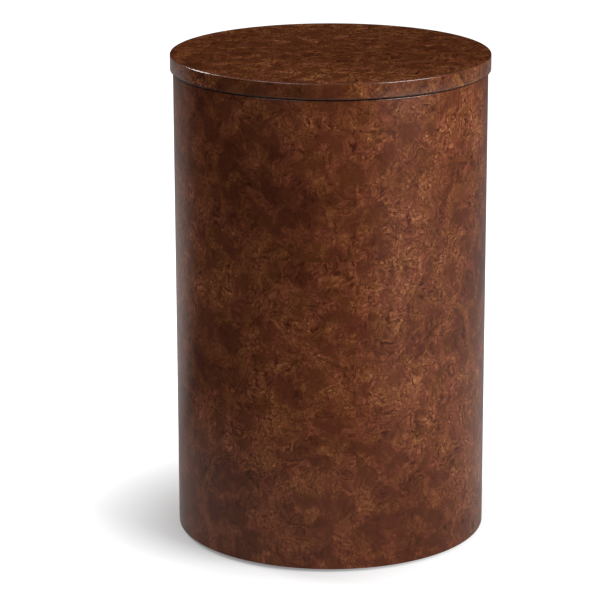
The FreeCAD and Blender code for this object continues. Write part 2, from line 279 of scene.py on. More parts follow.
# %% Node groups and materials
def new_group(name, inputs, outputs):
    """An empty group with named sockets, the recipe that fills it, its entry and its exit."""
    tree = bpy.data.node_groups.new(name, "ShaderNodeTree")
    for label, kind in inputs.items():
        tree.interface.new_socket(name=label, in_out="INPUT", socket_type="NodeSocket" + kind)
    for label, kind in outputs.items():
        tree.interface.new_socket(name=label, in_out="OUTPUT", socket_type="NodeSocket" + kind)
    entry = tree.nodes.new("NodeGroupInput").outputs
    leave = tree.nodes.new("NodeGroupOutput").inputs
    return tree, Recipe(tree), entry, leave


def new_material(name, **plain):
    """A material, its recipe and its shader's own sockets, with plain values set on them."""
    material = bpy.data.materials.new(name)
    material.use_nodes = True
    shader = material.node_tree.nodes["Principled BSDF"]
    for label, value in plain.items():
        shader.inputs[label.replace("_", " ").title().replace("Ior", "IOR")].default_value = value
    return material, Recipe(material.node_tree), shader.inputs


def use_group(recipe, group, **inputs):
    """Places a group in a material and hands back its outputs."""
    made = recipe.node("Group", {}, node_tree=group)
    for label, value in inputs.items():
        recipe.feed(made.inputs[label.title()], value)
    return made.outputs


# %% [markdown]
# ## The burl figure
# Burl is cut from a growth on a tree, where the grain runs round hundreds of dormant buds. A slice shows
# crowds of small eyes, curly rosettes, ragged patches and smooth darker bays. A photograph as a texture
# would look right from one side only. Here the figure is grown: the coordinates are bent by noise, the
# growth layers are the steps of a bumpy height, curls and flames are the contour lines of another, and
# eyes are rings round scattered centres. It is a group, because the drum, the top and its edge all wear
# it. The broad bays follow the table as a whole, because a veneer layer picks leaves whose tones run on
# across a joint, and the finer marks belong to each leaf.

# %% Sizes of the figure
METRES_TO_MM = 1000.0
BEND_SIZE, BEND_REACH = 42.0, 22.0
CURL_SIZE, CURL_REACH = 10.0, 8.0
TEAR_SIZE, TEAR_REACH = 5.0, 5.5
TURN_SIZE, TURN_REACH = 13.0, 11.0
LAYER_SIZE, LAYER_COUNT = 46.0, 13.0
BAY_SIZE, TUFT_SIZE, STIR_SIZE, HUE_SIZE = 120.0, 24.0, 26.0, 22.0
CURL_LINES, FLAME_LINES = (15.0, 6.5), (30.0, 5.5)
EYE_SIZE = 5.4
FLECK_SIZE, FLECK_STRETCH = 3.0, (1.0, 0.34, 1.0)
GRIT_SIZE = 2.3
BAY_SHIFT = (3458.0, 1827.0, 1698.0)
TUFT_SHIFT, STIR_SHIFT, HUE_SHIFT = (717.0, 113.0, 0.0), (190.0, 370.0, 0.0), (40.0, 510.0, 0.0)
STEP_TONES, STEP_DRIFT, STEP_MIDDLE = 0.75, 0.45, 0.6
LINE_START, LINE_END = 0.12, 0.35
PIP, PIP_SHARE = (0.18, 0.04), 0.6
RING_INNER, RING_OUTER = (0.04, 0.2), (0.42, 0.22)
RIM_INNER, RIM_OUTER = (0.28, 0.44), (0.7, 0.5)
EYE_CHANCE = (0.25, 0.7)
TUFT_LEAN, TUFT_RANGE, TUFT_MIDDLE = 0.3, (0.42, 0.60), 0.45
STIR_RANGE, HUE_RANGE = (0.36, 0.6), (0.3, 0.7)
CALM_SHARE = 0.25
CLEAR_RANGE, CLEAR_GAIN, CLEAR_LEAST = (-0.12, 0.12), 0.7, 0.65
MIDDLE_SHADE = 0.46
BROAD_SHARES = {"bays": 0.44, "layers": 0.12, "tufts": 0.15}
FINE_SHARES = {"curls": 0.17, "flames": 0.14, "eyes": 0.13, "flecks": 0.20, "grit": 0.28}
BURL_SHADES = [(0.00, rgb(30, 9, 5)), (0.25, rgb(61, 27, 15)), (0.45, rgb(88, 46, 27)),
               (0.66, rgb(113, 64, 39)), (0.85, rgb(136, 84, 54)), (1.00, rgb(158, 106, 70))]
MAUVE_TINT, GOLD_TINT = (1.05, 0.96, 1.10, 1.0), (1.0, 1.03, 0.89, 1.0)
print("marks of the figure:", *BROAD_SHARES, *FINE_SHARES)


# %% Grow the figure
def growth_layers(recipe, curled):
    """Each step of a bumpy height has a tone of its own, which also drifts a little across the step."""
    height = recipe.maths("MULTIPLY", recipe.cloud(curled, LAYER_SIZE, 5.0, 0.6), LAYER_COUNT)
    step = recipe.maths("FLOOR", height)
    pick = recipe.node("TexWhiteNoise", {"W": step}, noise_dimensions="1D").outputs["Value"]
    drift = recipe.maths("MULTIPLY", recipe.maths("FRACT", height), STEP_DRIFT)
    return recipe.maths("ADD", recipe.maths("MULTIPLY_ADD", pick, STEP_TONES, drift), -STEP_MIDDLE)


def grain_lines(recipe, turned, stir, size, count):
    """Contour lines of a bumpy height, dark on one side and fading on the other, in stirred grain."""
    saw = recipe.maths("FRACT", recipe.maths("MULTIPLY", recipe.cloud(turned, size, 1.2, 0.45), count))
    line = recipe.maths("MULTIPLY", recipe.fade(saw, 0.0, LINE_START), recipe.fade(saw, 1.0, LINE_END))
    return recipe.maths("MULTIPLY", recipe.about_zero(line), stir)


def eyes(recipe, torn, tuft):
    """Bud eyes in the pale tufts: a dark pip in a pale ring in a dark rim, each torn out of round."""
    distance, chance = recipe.cells(torn, EYE_SIZE)
    ring = recipe.maths("MULTIPLY", recipe.fade(distance, *RING_OUTER), recipe.fade(distance, *RING_INNER))
    rim = recipe.maths("MULTIPLY", recipe.fade(distance, *RIM_INNER), recipe.fade(distance, *RIM_OUTER))
    dark = recipe.maths("MULTIPLY_ADD", recipe.fade(distance, *PIP), PIP_SHARE, rim)
    mark = recipe.maths("MULTIPLY", recipe.maths("SUBTRACT", ring, dark), recipe.fade(chance, *EYE_CHANCE))
    return recipe.maths("MULTIPLY", mark, tuft)


def weigh(recipe, marks, shares, total):
    """Adds each mark, times its share, to a total."""
    for name, share in shares.items():
        total = recipe.maths("MULTIPLY_ADD", marks[name], share, total)
    return total


def make_burl_figure():
    """The shade is a middle tone plus the shares of the broad and the fine marks, and sets the colour.

    The fine marks are crisper in the pale bays, and a slow noise leans the colour to gold or to mauve.
    """
    inputs = {"Place": "Vector", "Ground": "Vector", "Fine": "Float"}
    tree, recipe, entry, leave = new_group("burl_figure", inputs, {"Color": "Color", "Shade": "Float"})
    place = recipe.stretch(entry["Place"], (METRES_TO_MM,) * 3)
    ground = recipe.stretch(entry["Ground"], (METRES_TO_MM,) * 3)
    bent = recipe.warp(place, BEND_SIZE, BEND_REACH)
    curled = recipe.warp(bent, CURL_SIZE, CURL_REACH, 4.0, 0.62)
    turned = recipe.warp(bent, TURN_SIZE, TURN_REACH)
    torn = recipe.warp(place, TEAR_SIZE, TEAR_REACH, 2.0, 0.55)
    bay = recipe.about_zero(recipe.cloud(recipe.move(ground, BAY_SHIFT), BAY_SIZE, 3.0, dimensions="3D"))
    crowd = recipe.cloud(recipe.move(curled, TUFT_SHIFT), TUFT_SIZE, 4.0, 0.6)
    tuft = recipe.fade(recipe.maths("MULTIPLY_ADD", bay, TUFT_LEAN, crowd), *TUFT_RANGE)
    stir = recipe.fade(recipe.cloud(recipe.move(bent, STIR_SHIFT), STIR_SIZE), *STIR_RANGE)
    fibre = recipe.stretch(recipe.warp(bent, CURL_SIZE, CURL_REACH), FLECK_STRETCH)
    fleck = recipe.about_zero(recipe.cloud(fibre, FLECK_SIZE, 2.0, 0.55))
    grit = recipe.about_zero(recipe.cloud(torn, GRIT_SIZE, 1.0))
    lively = recipe.maths("MULTIPLY_ADD", tuft, 1 - CALM_SHARE, CALM_SHARE)
    marks = {
        "bays": bay,
        "layers": growth_layers(recipe, curled),
        "tufts": recipe.maths("ADD", tuft, -TUFT_MIDDLE),
        "curls": grain_lines(recipe, turned, stir, *CURL_LINES),
        "flames": grain_lines(recipe, turned, stir, *FLAME_LINES),
        "eyes": eyes(recipe, torn, tuft),
        "flecks": recipe.maths("MULTIPLY", fleck, lively),
        "grit": recipe.maths("MULTIPLY", grit, lively),
    }
    broad = weigh(recipe, marks, BROAD_SHARES, MIDDLE_SHADE)
    clarity = recipe.maths("MULTIPLY_ADD", recipe.fade(bay, *CLEAR_RANGE), CLEAR_GAIN, CLEAR_LEAST)
    crisp = recipe.maths("MULTIPLY", entry["Fine"], clarity)
    shade = recipe.maths("MULTIPLY_ADD", weigh(recipe, marks, FINE_SHARES, 0.0), crisp, broad)
    colour = recipe.shades(shade, BURL_SHADES)
    hue = recipe.fade(recipe.cloud(recipe.move(curled, HUE_SHIFT), HUE_SIZE, 4.0), *HUE_RANGE)
    tint = recipe.mix(hue, GOLD_TINT, MAUVE_TINT)
    recipe.feed(leave["Color"], recipe.mix(1.0, colour, tint, "MULTIPLY"))
    recipe.feed(leave["Shade"], shade)
    return tree


burl_figure = make_burl_figure()
print("burl figure:", len(burl_figure.nodes), "nodes")

# %% [markdown]
# ## Satin lacquer over the figure
# The veneer is sealed and sprayed, so its colour lies under a thin clear skin that shows at a glance
# along the surface. One shader with a low, soft gloss does that. The skin is never quite flat: it has
# faint waves from the spray gun, and it sinks a little into the pores. Where two leaves meet, a hairline
# of glue shows. The face of the top is rubbed quite dull, its edge is glossier, and the eased
# corners take the most polish from hands and cloths.

# %% Lacquered veneer
JOINT_WIDTH = 0.3 * MM
JOINT_TINT = (0.86, 0.84, 0.83, 1.0)
SPRAY_WAVE = 4.0 * MM
PORE_SHARE = 0.5
SKIN_RELIEF = (0.05, 0.1 * MM)
LID_TONE, EDGE_TONE = (0.93, 1.0, 0.95), (0.97, 0.98, 0.85)
UPRIGHT_LEAN, LEVEL_LEAN = 0.1, 0.995


def lacquered_burl(name, gloss, roughness, fine, tone=(1.0, 1.0, 1.0), bays=1.0):
    """Burl that follows the piece's own leaf_uv map, with glue lines where its leaf_place map is near zero.

    Fine scales the small marks, tone tints the colour, and bays scales how many broad bays the piece shows.
    """
    material, recipe, shader = new_material(name, specular_ior_level=gloss, roughness=roughness)
    table_place = recipe.object_place()
    leaf_uv = recipe.node("UVMap", {}, uv_map="leaf_uv").outputs["UV"]
    ground = recipe.stretch(table_place, (bays, bays, bays))
    figure = use_group(recipe, burl_figure, place=leaf_uv, ground=ground, fine=fine)
    side = recipe.axes(recipe.node("UVMap", {}, uv_map="leaf_place").outputs["UV"])
    joint = recipe.fade(recipe.maths("MINIMUM", side["X"], side["Y"]), JOINT_WIDTH, 0.0)
    lined = recipe.mix(joint, figure["Color"], recipe.mix(1.0, figure["Color"], JOINT_TINT, "MULTIPLY"))
    recipe.feed(shader["Base Color"], recipe.mix(1.0, lined, (*tone, 1.0), "MULTIPLY"))
    wave = recipe.cloud(table_place, SPRAY_WAVE, 1.0, dimensions="3D")
    skin = recipe.maths("MULTIPLY_ADD", figure["Shade"], PORE_SHARE, wave)
    recipe.feed(shader["Normal"], recipe.bump(skin, *SKIN_RELIEF))
    return material


drum_burl = lacquered_burl("drum_burl", gloss=0.15, roughness=0.28, fine=1.05)
lid_burl = lacquered_burl("lid_burl", gloss=0.0, roughness=0.32, fine=2.3, tone=LID_TONE, bays=0.35)
edge_burl = lacquered_burl("edge_burl", gloss=0.4, roughness=0.2, fine=1.1, tone=EDGE_TONE, bays=0.75)
arris_burl = lacquered_burl("arris_burl", gloss=1.0, roughness=0.22, fine=1.0)


def burnish(mesh):
    """Gives the eased corners, whose faces lean between level and upright, the more polished finish."""
    normals = np.empty(len(mesh.polygons) * 3)
    mesh.polygons.foreach_get("normal", normals)
    lean = np.abs(normals[2::3])
    mesh.materials.append(arris_burl)
    eased_face = (lean > UPRIGHT_LEAN) & (lean < LEVEL_LEAN)
    mesh.polygons.foreach_set("material_index", eased_face.astype(np.int32))


print("lacquered veneers:", drum_burl.name, lid_burl.name, edge_burl.name, arris_burl.name)

# %% [markdown]
# ## The drum's leaves
# Burl comes in small leaves, so the drum wears three rows of six. Each is a sheet 0.6 mm thick that
# follows the wall. Its section is a thin upright outline with the outer corner eased at the head and the
# foot of the drum, and that outline is carried round a sixth of a turn. Each leaf starts somewhere else
# in the figure, as leaves from different places of one burl do.

# %% Lay the drum's leaves
LEAF_ROWS = ("bottom", "middle", "top")
LEAF_COLUMNS = 6
LEAF_STEPS = 48
ARRIS = 0.5 * MM
NO_JOINT = 1.0
FIGURE_SPREAD = 4.0
figure_places = np.random.default_rng(seed=11)
first_leaf = points_of("drum_leaf_bottom_1")
first_joint = np.arctan2(first_leaf[:, 1], first_leaf[:, 0]).min()
leaf_turn = 2 * np.pi / LEAF_COLUMNS


def closed_sweep(outline, angles):
    """A closed (radius, height) outline carried along angles, each end drawn in to its middle."""
    middle = np.broadcast_to(outline[:-1].mean(axis=0), outline.shape)
    sections = np.concatenate([middle[None], np.repeat(outline[None], len(angles), axis=0), middle[None]])
    along = np.concatenate([angles[:1], angles, angles[-1:]])[:, None]
    return round_axis(sections[..., 0], sections[..., 1], along), along


def lay_drum_leaf(row, column):
    """A thin upright outline carried round a sixth of a turn, mapped by arc length and height."""
    node = f"drum_leaf_{row}_{column}"
    _, _, low, high = reach_of(node)
    start = first_joint + (column - 1) * leaf_turn
    corners = [(drum_outer, low), (drum_outer, high), (drum_inner, high), (drum_inner, low)]
    cuts = [ARRIS * (row == "bottom"), ARRIS * (row == "top"), 0, 0]
    angles = np.linspace(start, start + leaf_turn, LEAF_STEPS + 1)
    points, along = closed_sweep(eased(corners, cuts), angles)
    across = np.broadcast_to(drum_outer * (along - start), points.shape[:2])
    rise = points[..., 2] - low + NO_JOINT * (row == "bottom")
    place = np.stack([across, rise], axis=-1)
    maps = {"leaf_uv": place + figure_places.uniform(0, FIGURE_SPREAD, 2), "leaf_place": place}
    mesh = surface_mesh(f"veneer_{row}_{column}", points, maps)
    dress(mesh, "table", "drum_burl", drum_burl, node)
    burnish(mesh)


for row in LEAF_ROWS:
    for column in range(1, LEAF_COLUMNS + 1):
        lay_drum_leaf(row, column)
leaf_width = round(drum_outer * leaf_turn / MM, 1)
print("drum leaves:", len(LEAF_ROWS) * LEAF_COLUMNS, "each", leaf_width, "mm wide")

# %% [markdown]
# ## The top
# The face of the top is four quarter leaves that meet in the middle, and a strip of the same burl runs
# round the rim. A leaf's section is a flat outline that starts on the axis, so a quarter turn of it is a
# quarter disc, and the weld gathers the points on the axis. Both arrises are rounded, because the lacquer
# would wear off a sharp one, and the upper round runs through the leaf into the strip: an arc that both
# outlines share.

# %% Lay the top's leaves and edge
LID_LEAVES = 4
LID_STEPS = 72
LID_FIGURE = 1.25
LID_ARRIS = 1.1 * MM
RIM_STEPS = 288
lid_turn = 2 * np.pi / LID_LEAVES
upper_middle = (lid_outer - LID_ARRIS, lid_top - LID_ARRIS)
leaf_angle = np.arcsin((lid_face_back - upper_middle[1]) / LID_ARRIS)


def lay_lid_leaf(number):
    """A flat outline from axis to arris carried round a quarter turn, mapped along its two sides."""
    start = (number - 1) * lid_turn
    arris = arc(upper_middle, LID_ARRIS, leaf_angle, np.pi / 2)
    outline = np.vstack([(0, lid_face_back), arris, (0, lid_top), (0, lid_face_back)])
    points, _ = closed_sweep(outline, np.linspace(start, start + lid_turn, LID_STEPS + 1))
    east, north = points[..., 0], points[..., 1]
    place = np.stack([east * np.cos(start) + north * np.sin(start),
                      north * np.cos(start) - east * np.sin(start)], axis=-1)
    maps = {"leaf_uv": LID_FIGURE * place + figure_places.uniform(0, FIGURE_SPREAD, 2), "leaf_place": place}
    mesh = surface_mesh(f"lid_veneer_{number}", points, maps)
    dress(mesh, "table", "lid_burl", lid_burl, f"lid_leaf_{number}")
    burnish(mesh)


for number in range(1, LID_LEAVES + 1):
    lay_lid_leaf(number)

band_inner, band_outer, band_low, band_high = reach_of("lid_edge_band")
lower_middle = (lid_outer - LID_ARRIS, band_low + LID_ARRIS)
foot_angle = np.arccos((band_inner - lower_middle[0]) / LID_ARRIS)
lower_arc = arc(lower_middle, LID_ARRIS, -foot_angle, 0)
upper_arc = arc(upper_middle, LID_ARRIS, 0, leaf_angle)
strip = np.vstack([lower_arc, upper_arc, (band_inner, band_high), lower_arc[:1]])
rim_angles = full_turn(RIM_STEPS)[:, None]
rim_points = round_axis(strip[:, 0], strip[:, 1], rim_angles)
rim_place = np.stack([np.broadcast_to(band_outer * rim_angles, rim_points.shape[:2]),
                      rim_points[..., 2] - band_low + NO_JOINT], axis=-1)
rim_maps = {"leaf_uv": rim_place + figure_places.uniform(0, FIGURE_SPREAD, 2), "leaf_place": rim_place}
rim_mesh = surface_mesh("lid_edge_veneer", rim_points, rim_maps)
dress(rim_mesh, "table", "edge_burl", edge_burl, "lid_edge_band")
burnish(rim_mesh)
print("top:", LID_LEAVES, "leaves and a strip", round(2 * np.pi * band_outer, 3), "m long")

# %% [markdown]
# ## Plain wood
# Behind the burl the table is ordinary joinery: moulded plywood walls, birch plywood rings, pine battens
# and a plain veneer under the top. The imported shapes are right, so these nodes stay and only get a
# finish. Planks could be painted one by one; here one group draws noise out along the grain into rings
# and fibres, and each wood places it with its own colours and its own direction.

# %% Fibre along the grain
GRAIN_DRAW = 0.04
RING_SIZE, FIBRE_SIZE = 5.0, 0.7
GROWTH_RANGE = (0.3, 0.7)
FIBRE_SHARE = 0.5
WOOD_RELIEF = (0.2, 0.1 * MM)


def make_wood_fibre():
    """Noise drawn out along Z: Ring has its broad bands and Fibre its fine streaks."""
    outputs = {"Ring": "Float", "Fibre": "Float"}
    tree, recipe, entry, leave = new_group("wood_fibre", {"Place": "Vector"}, outputs)
    drawn = recipe.stretch(entry["Place"], (METRES_TO_MM, METRES_TO_MM, METRES_TO_MM * GRAIN_DRAW))
    ring = recipe.cloud(drawn, RING_SIZE, 3.0, 0.55, dimensions="3D")
    recipe.feed(leave["Ring"], recipe.fade(ring, *GROWTH_RANGE))
    recipe.feed(leave["Fibre"], recipe.cloud(drawn, FIBRE_SIZE, 2.0, 0.6, dimensions="3D"))
    return tree


wood_fibre = make_wood_fibre()


def wood_grain(recipe, along, light, dark):
    """Colour and fibre of a wood with its grain along X, Y or Z: rings of two tones, and dark fibres."""
    axis = recipe.axes(recipe.object_place())
    across = [axis[name] for name in "XYZ" if name != along]
    turned = recipe.node("CombineXYZ", {"X": across[0], "Y": across[1], "Z": axis[along]}).outputs["Vector"]
    grain = use_group(recipe, wood_fibre, place=turned)
    ringed = recipe.mix(grain["Ring"], light, dark)
    streak = recipe.maths("MULTIPLY", grain["Fibre"], FIBRE_SHARE)
    return recipe.mix(streak, ringed, dark), grain["Fibre"]


def plain_wood(name, along, light, dark, gloss, roughness):
    """A planed or sealed wood, with its fibres as a faint relief."""
    material, recipe, shader = new_material(name, specular_ior_level=gloss, roughness=roughness)
    colour, fibre = wood_grain(recipe, along, light, dark)
    recipe.feed(shader["Base Color"], colour)
    recipe.feed(shader["Normal"], recipe.bump(fibre, *WOOD_RELIEF))
    return material


def coat(material, *names):
    """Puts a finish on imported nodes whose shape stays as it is."""
    for name in names:
        for slot in nodes[name].material_slots:
            slot.material = material
    print(material.name, "on", *names)


pine = plain_wood("batten_pine", "Z", rgb(222, 186, 134), rgb(196, 150, 94), gloss=0.2, roughness=0.7)
coat(pine, "front_batten", "right_batten", "rear_batten", "left_batten")
backing = plain_wood("backing_veneer", "X", rgb(86, 50, 31), rgb(60, 33, 20), gloss=0.4, roughness=0.3)
coat(backing, "lid_backer")

# %% [markdown]
# ## Plywood
# Plywood is a stack of thin sheets whose grain crosses from one to the next, so its edge is striped:
# every second ply shows end grain and looks darker, with a hairline of glue between. The drum's wall is
# pressed round a mould, so its plies are counted outwards from the axis; the rings are cut from flat
# board and are counted upwards. The edges that face the shadow gap and the floor are stained dark, so
# that the gap reads as a black line.

# %% Plies and stained edges
FACE_PLY = 0.3
GLUE_START, GLUE_SHARE = 0.40, 0.6
STAIN_DEPTH = 0.8 * MM
GAP_STAIN = rgb(26, 13, 9)
CROSS_TINT = (0.74, 0.68, 0.6, 1.0)


def make_ply_layers():
    """Plies counted from one face. Cross is 1 in every second ply, Glue a mask on the lines between."""
    inputs = {"Depth": "Float", "Thickness": "Float", "Plies": "Float"}
    tree, recipe, entry, leave = new_group("ply_layers", inputs, {"Cross": "Float", "Glue": "Float"})
    count = recipe.maths("DIVIDE", entry["Depth"], entry["Thickness"])
    last = recipe.maths("SUBTRACT", entry["Plies"], FACE_PLY)
    inside = recipe.maths("MINIMUM", recipe.maths("MAXIMUM", count, FACE_PLY), last)
    recipe.feed(leave["Cross"], recipe.maths("MODULO", recipe.maths("FLOOR", inside), 2.0))
    off_middle = recipe.maths("ABSOLUTE", recipe.about_zero(recipe.maths("FRACT", inside)))
    recipe.feed(leave["Glue"], recipe.fade(off_middle, GLUE_START, 0.5))
    return tree


ply_layers = make_ply_layers()


def plywood(name, node, moulded, along, plies, light, dark):
    """Plies along the radius of a moulded node or the height of a flat one, with stained exposed edges."""
    inner, outer, low, high = reach_of(node)
    material, recipe, shader = new_material(name, specular_ior_level=0.2, roughness=0.65)
    place = recipe.object_place()
    radius, height = recipe.length(recipe.stretch(place, (1, 1, 0))), recipe.axes(place)["Z"]
    if moulded:
        depth, total = recipe.maths("SUBTRACT", radius, inner), outer - inner
        above_foot = recipe.maths("SUBTRACT", height, low)
        below_head = recipe.maths("SUBTRACT", high, height)
        edge = recipe.maths("MINIMUM", above_foot, below_head)
    else:
        depth, total = recipe.maths("SUBTRACT", height, low), high - low
        edge = recipe.maths("SUBTRACT", outer, radius)
    layer = use_group(recipe, ply_layers, depth=depth, thickness=total / plies, plies=plies)
    colour, fibre = wood_grain(recipe, along, light, dark)
    crossed = recipe.mix(layer["Cross"], colour, recipe.mix(1.0, colour, CROSS_TINT, "MULTIPLY"))
    glued = recipe.mix(recipe.maths("MULTIPLY", layer["Glue"], GLUE_SHARE), crossed, dark)
    stain = recipe.fade(edge, STAIN_DEPTH, STAIN_DEPTH / 2)
    recipe.feed(shader["Base Color"], recipe.mix(stain, glued, GAP_STAIN))
    recipe.feed(shader["Normal"], recipe.bump(fibre, *WOOD_RELIEF))
    return material


WALL_PLIES, RING_PLIES = 6.0, 13.0
WALL_LIGHT, WALL_DARK = rgb(200, 166, 122), rgb(170, 132, 90)
RING_LIGHT, RING_DARK = rgb(214, 182, 138), rgb(188, 150, 104)
wall_ply = plywood("moulded_ply", "front_half_shell", True, "Z", WALL_PLIES, WALL_LIGHT, WALL_DARK)
coat(wall_ply, "front_half_shell", "rear_half_shell")
for ring in ("top_former", "middle_former"):
    ring_ply = plywood(f"{ring}_ply", ring, False, "X", RING_PLIES, RING_LIGHT, RING_DARK)
    coat(ring_ply, ring)

# %% [markdown]
# ## Fibreboard
# The top's core and the base are fibreboard: wood ground to fluff and pressed, so it has no grain, only a
# fine speckle. One group makes the speckle. On the bare core it shows as two tans, and on the base it is
# where a single thin coat of black paint has sunk in.

# %% Speckled board
SPECK_SIZE = 0.9
BOARD_RELIEF = (0.25, 0.1 * MM)


def make_board_fibre():
    """Fine noise that is the same in all directions, as pressed fluff is."""
    tree, recipe, entry, leave = new_group("board_fibre", {"Place": "Vector"}, {"Speck": "Float"})
    place = recipe.stretch(entry["Place"], (METRES_TO_MM,) * 3)
    recipe.feed(leave["Speck"], recipe.cloud(place, SPECK_SIZE, 3.0, 0.65, dimensions="3D"))
    return tree


board_fibre = make_board_fibre()


def fibreboard(name, ground, speck, low, high, roughness):
    """A board of one tone with specks of another where the noise passes from low to high."""
    material, recipe, shader = new_material(name, specular_ior_level=0.2, roughness=roughness)
    noise = use_group(recipe, board_fibre, place=recipe.object_place())["Speck"]
    recipe.feed(shader["Base Color"], recipe.mix(recipe.fade(noise, low, high), ground, speck))
    recipe.feed(shader["Normal"], recipe.bump(noise, *BOARD_RELIEF))
    return material


bare_core = fibreboard("core_board", rgb(168, 137, 100), rgb(190, 161, 123), 0.35, 0.65, roughness=0.85)
coat(bare_core, "lid_core")
painted_base = fibreboard("base_board", rgb(27, 25, 24), rgb(46, 41, 36), 0.52, 0.78, roughness=0.55)
coat(painted_base, "base_panel")

# %% [markdown]
# ## Metal and plastic
# The screws, inserts and glide stems are plated steel and die-cast zinc. Fresh plating is not one grey:
# it clouds and it scatters light unevenly, so one group gives a slow cloud for the colour and a finer one
# for the roughness. The pads under the glides are moulded nylon with the fine matt texture of a
# spark-eroded mould.

# %% Plated metal and nylon
CLOUD_SIZE, GRAIN_SIZE = 2.6, 0.5
CLOUD_RANGE = (0.3, 0.7)
PLATE_GAIN, PLATE_LEAST = 0.25, 0.22
NYLON_RELIEF = (0.3, 0.05 * MM)


def make_plating():
    """Tone is a slow cloud, and Roughness a finer one on top of a least value."""
    outputs = {"Tone": "Float", "Roughness": "Float"}
    tree, recipe, entry, leave = new_group("plating", {"Place": "Vector"}, outputs)
    place = recipe.stretch(entry["Place"], (METRES_TO_MM,) * 3)
    cloud = recipe.cloud(place, CLOUD_SIZE, 3.0, dimensions="3D")
    recipe.feed(leave["Tone"], recipe.fade(cloud, *CLOUD_RANGE))
    grain = recipe.cloud(place, GRAIN_SIZE, 2.0, dimensions="3D")
    recipe.feed(leave["Roughness"], recipe.maths("MULTIPLY_ADD", grain, PLATE_GAIN, PLATE_LEAST))
    return tree


plating = make_plating()


def plated(name, light, dark):
    """A metal that clouds between two tones."""
    material, recipe, shader = new_material(name, metallic=1.0)
    skin = use_group(recipe, plating, place=recipe.object_place())
    recipe.feed(shader["Base Color"], recipe.mix(skin["Tone"], dark, light))
    recipe.feed(shader["Roughness"], skin["Roughness"])
    return material


def moulded_nylon(name):
    """Dark nylon with a cloud in its tone and a fine matt relief."""
    material, recipe, shader = new_material(name, specular_ior_level=0.4, roughness=0.5)
    place = recipe.stretch(recipe.object_place(), (METRES_TO_MM,) * 3)
    tone = recipe.cloud(place, CLOUD_SIZE, 2.0, dimensions="3D")
    recipe.feed(shader["Base Color"], recipe.mix(tone, rgb(30, 27, 25), rgb(42, 38, 34)))
    grain = recipe.cloud(place, GRAIN_SIZE, 1.0, dimensions="3D")
    recipe.feed(shader["Normal"], recipe.bump(grain, *NYLON_RELIEF))
    return material


screw_zinc = plated("zinc_screw", rgb(214, 206, 182), rgb(190, 180, 150))
insert_zinc = plated("zinc_insert", rgb(206, 203, 196), rgb(178, 175, 168))
stem_steel = plated("stem_steel", rgb(206, 207, 208), rgb(182, 183, 185))
pad_nylon = moulded_nylon("pad_nylon")
print("metals:", screw_zinc.name, insert_zinc.name, stem_steel.name, "and", pad_nylon.name)

# %% [markdown]
# ## Screws
# Wood screws hold the base, the upper ring and the top. A screw is a profile turned round its own axis:
# the face of the head with a cross pressed into it, the rim, a plain shank, then a thread that dies away
# in the point. The thread could be a separate coil; here it is the radius itself, which swells once a
# turn as it climbs, so the screw is one closed surface.

# %% Cut a thread and press a cross
SCREW_COLUMNS = 32
THREAD_ROWS = 8
CROSS_WIDTH, CROSS_SLOPE = 0.9 * MM, 0.5 * MM
CROSS_REACH, CROSS_DEPTH = 2.4 * MM, 1.5 * MM


def thread(height, angles, pitch):
    """A right-handed thread: 1/2 + 1/2 cos of one turn per pitch climbed, less the angle gone round."""
    return 0.5 + 0.5 * np.cos(2 * np.pi * height / pitch - angles)


def cross_recess(radius, angles):
    """Depth of two crossed slots: full where the lesser of |x| and |y| is small, shallower further out."""
    lesser = np.minimum(np.abs(radius * np.cos(angles)), np.abs(radius * np.sin(angles)))
    slot = np.clip((CROSS_WIDTH / 2 - lesser) / CROSS_SLOPE + 0.5, 0, 1)
    return CROSS_DEPTH * slot * np.clip(1 - radius / CROSS_REACH, 0, 1)


def at_axes(points, axes):
    """Copies of a surface on each of several upright axes."""
    return axes[:, None, None, :] + points


print("a cross is", round(cross_recess(0.0, 0.0) / MM, 2), "mm deep in its middle")

# %% Turn the screws
SHANK, CORE, SCREW_PITCH, POINT = 2.0 * MM, 1.3 * MM, 1.8 * MM, 3.0 * MM
PLAIN_SHANK = 9.0 * MM
FACE_ROWS = 14
SUNK_HEAD = np.array([(3.85, 0.0), (3.85, 0.12), (2.0, 2.2)]) * MM
PAN_DOME = [(2.6, 0.0), (3.3, 0.2), (3.8, 0.7), (4.0, 1.3)]
PAN_HEAD = np.array(PAN_DOME + [(4.0, 2.1), (3.9, 2.2), (2.0, 2.2)]) * MM
SCREWS = 4


def wood_screw(head, length):
    """A screw that hangs upwards from the face of its head at height 0.

    The face is a disc sunk by the cross, the head follows its (radius, height) profile, and the radius
    beyond is the plain shank, then core + (shank - core) thread^3, never more than the cone of the point.
    """
    angles = full_turn(SCREW_COLUMNS)
    face = np.linspace(0, head[0, 0], FACE_ROWS)[:, None]
    height = np.arange(head[-1, 1], length, SCREW_PITCH / THREAD_ROWS)[:, None]
    ridge = CORE + (SHANK - CORE) * thread(height, angles, SCREW_PITCH) ** 3
    begun = np.clip((height - PLAIN_SHANK) / SCREW_PITCH, 0, 1)
    radius = np.minimum(SHANK + (ridge - SHANK) * begun, (length - height) * SHANK / POINT)
    return np.concatenate([
        round_axis(face, cross_recess(face, angles), angles),
        round_axis(head[:, :1], head[:, 1:], angles),
        round_axis(radius, height, angles),
        round_axis(np.zeros((1, 1)), length, angles),
    ])


def drive_screws(name, node, head, head_up):
    """The four screws of a node. Those with the head up are turned half round the X axis, not mirrored."""
    axes, low, high = axes_of(node, SCREWS)
    screw = wood_screw(head, high - low)
    placed = screw * (1, -1, -1) + (0, 0, high) if head_up else screw + (0, 0, low)
    dress(surface_mesh(name, at_axes(placed, axes)), "table", "zinc_screw", screw_zinc, node)
    print(name, SCREWS, "screws", round((high - low) / MM, 1), "mm long")


